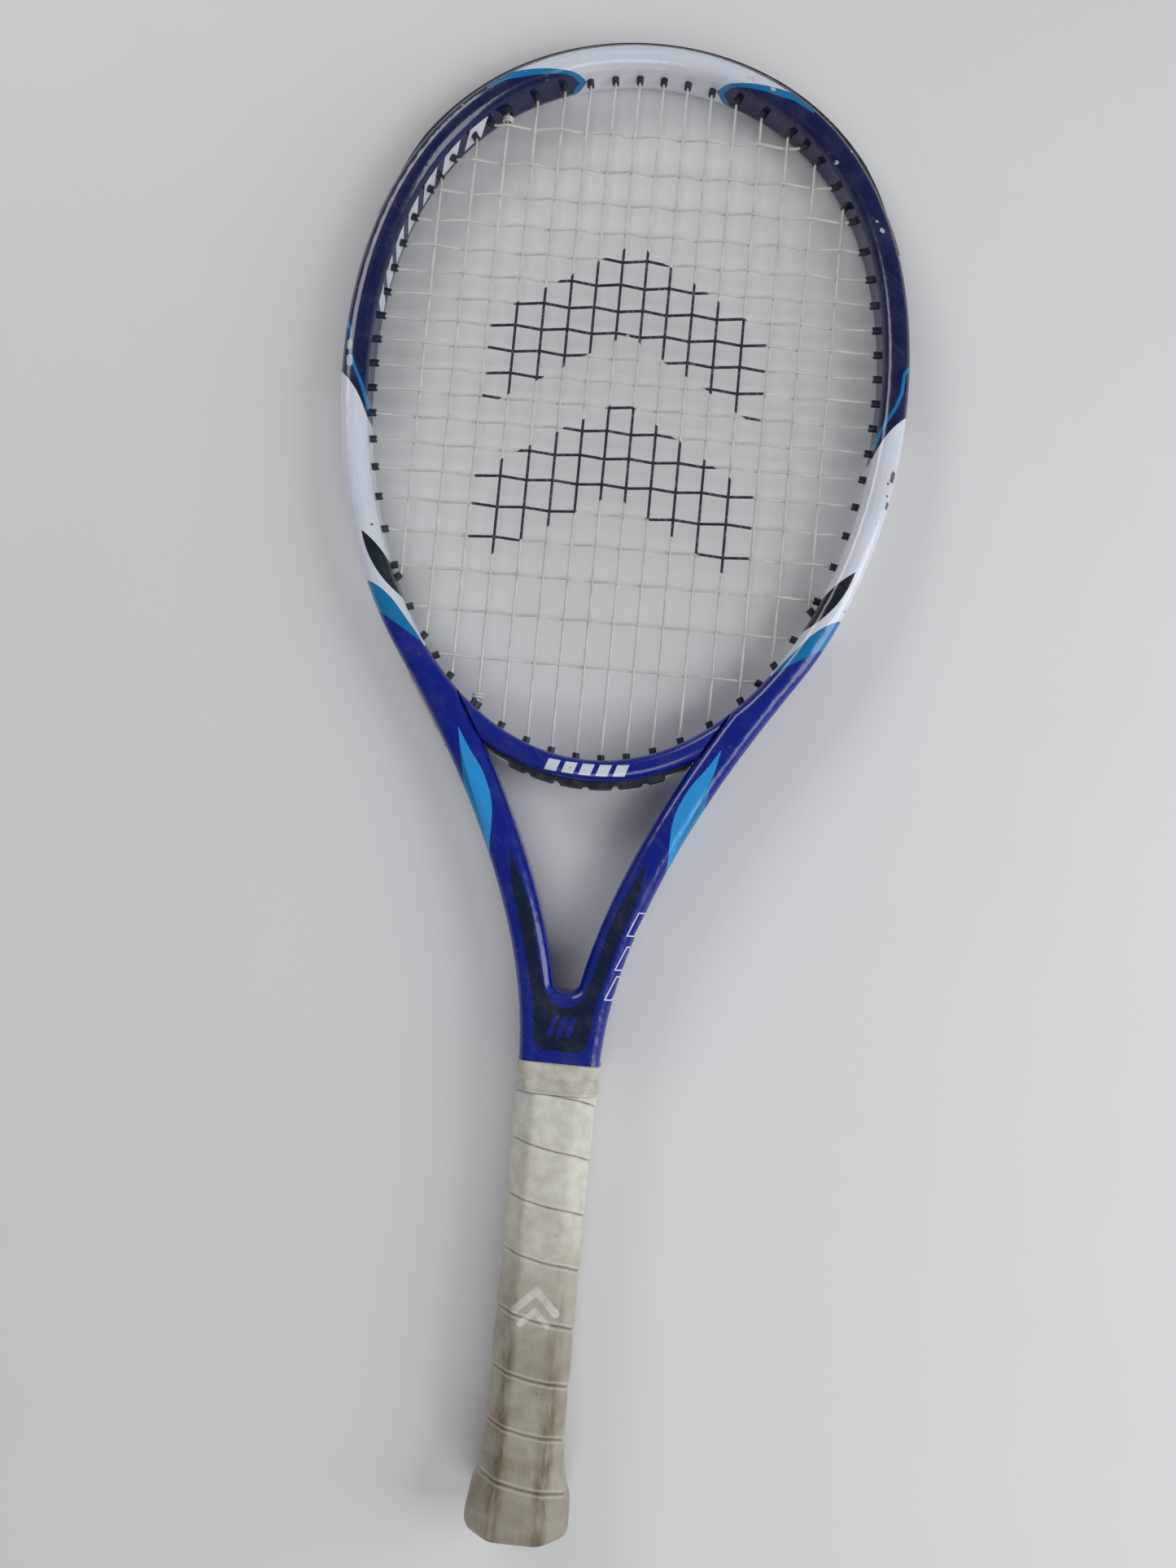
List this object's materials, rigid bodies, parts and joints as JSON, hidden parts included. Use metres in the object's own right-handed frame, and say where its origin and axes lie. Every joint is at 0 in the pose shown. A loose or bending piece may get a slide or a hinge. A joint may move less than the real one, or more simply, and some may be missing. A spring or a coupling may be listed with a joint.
{
  "type": "tennis racket",
  "caption": "Strung adult tennis racket: hollow hairpin frame with throat bridge, grommet strips, crown guard, woven string bed and wrapped octagonal handle.",
  "frame": {"origin": "centre of the butt's end face", "axes": "+Y towards the crown of the head, +Z square to the string plane, X across"},
  "size_m": [0.2663, 0.685, 0.0406],
  "materials": {
    "frame_paint": "gloss lacquer over paint: royal blue throat, near-black navy and white head, cyan trim",
    "guard_plastic": "satin black nylon, scuffed",
    "grommet_plastic": "satin black nylon",
    "string": "translucent synthetic gut with a dark ink stencil",
    "pallet_foam": "moulded hard foam",
    "cap_plastic": "moulded plastic, grubby",
    "staple_steel": "bright wire",
    "grip_wrap": "synthetic leather wrap, cream, grubby towards the butt",
    "tape": "thin vinyl tape",
    "collar_rubber": "matt rubber, cream"
  },
  "bodies": {
    "root": {"frame_tube": "frame_paint", "throat_bridge": "frame_paint", "bumper_guard": "guard_plastic", "grommet_strip_left": "grommet_plastic", "grommet_strip_right": "grommet_plastic", "grommet_strip_throat": "grommet_plastic", "main_string": "string", "cross_string": "string", "mains_knot": "string", "crosses_knot": "string", "handle_pallet": "pallet_foam", "butt_cap": "cap_plastic", "butt_cap_staples": "staple_steel", "base_grip": "grip_wrap", "grip_staple": "staple_steel", "finishing_tape": "tape", "grip_collar": "collar_rubber"}
  },
  "joints": []
}
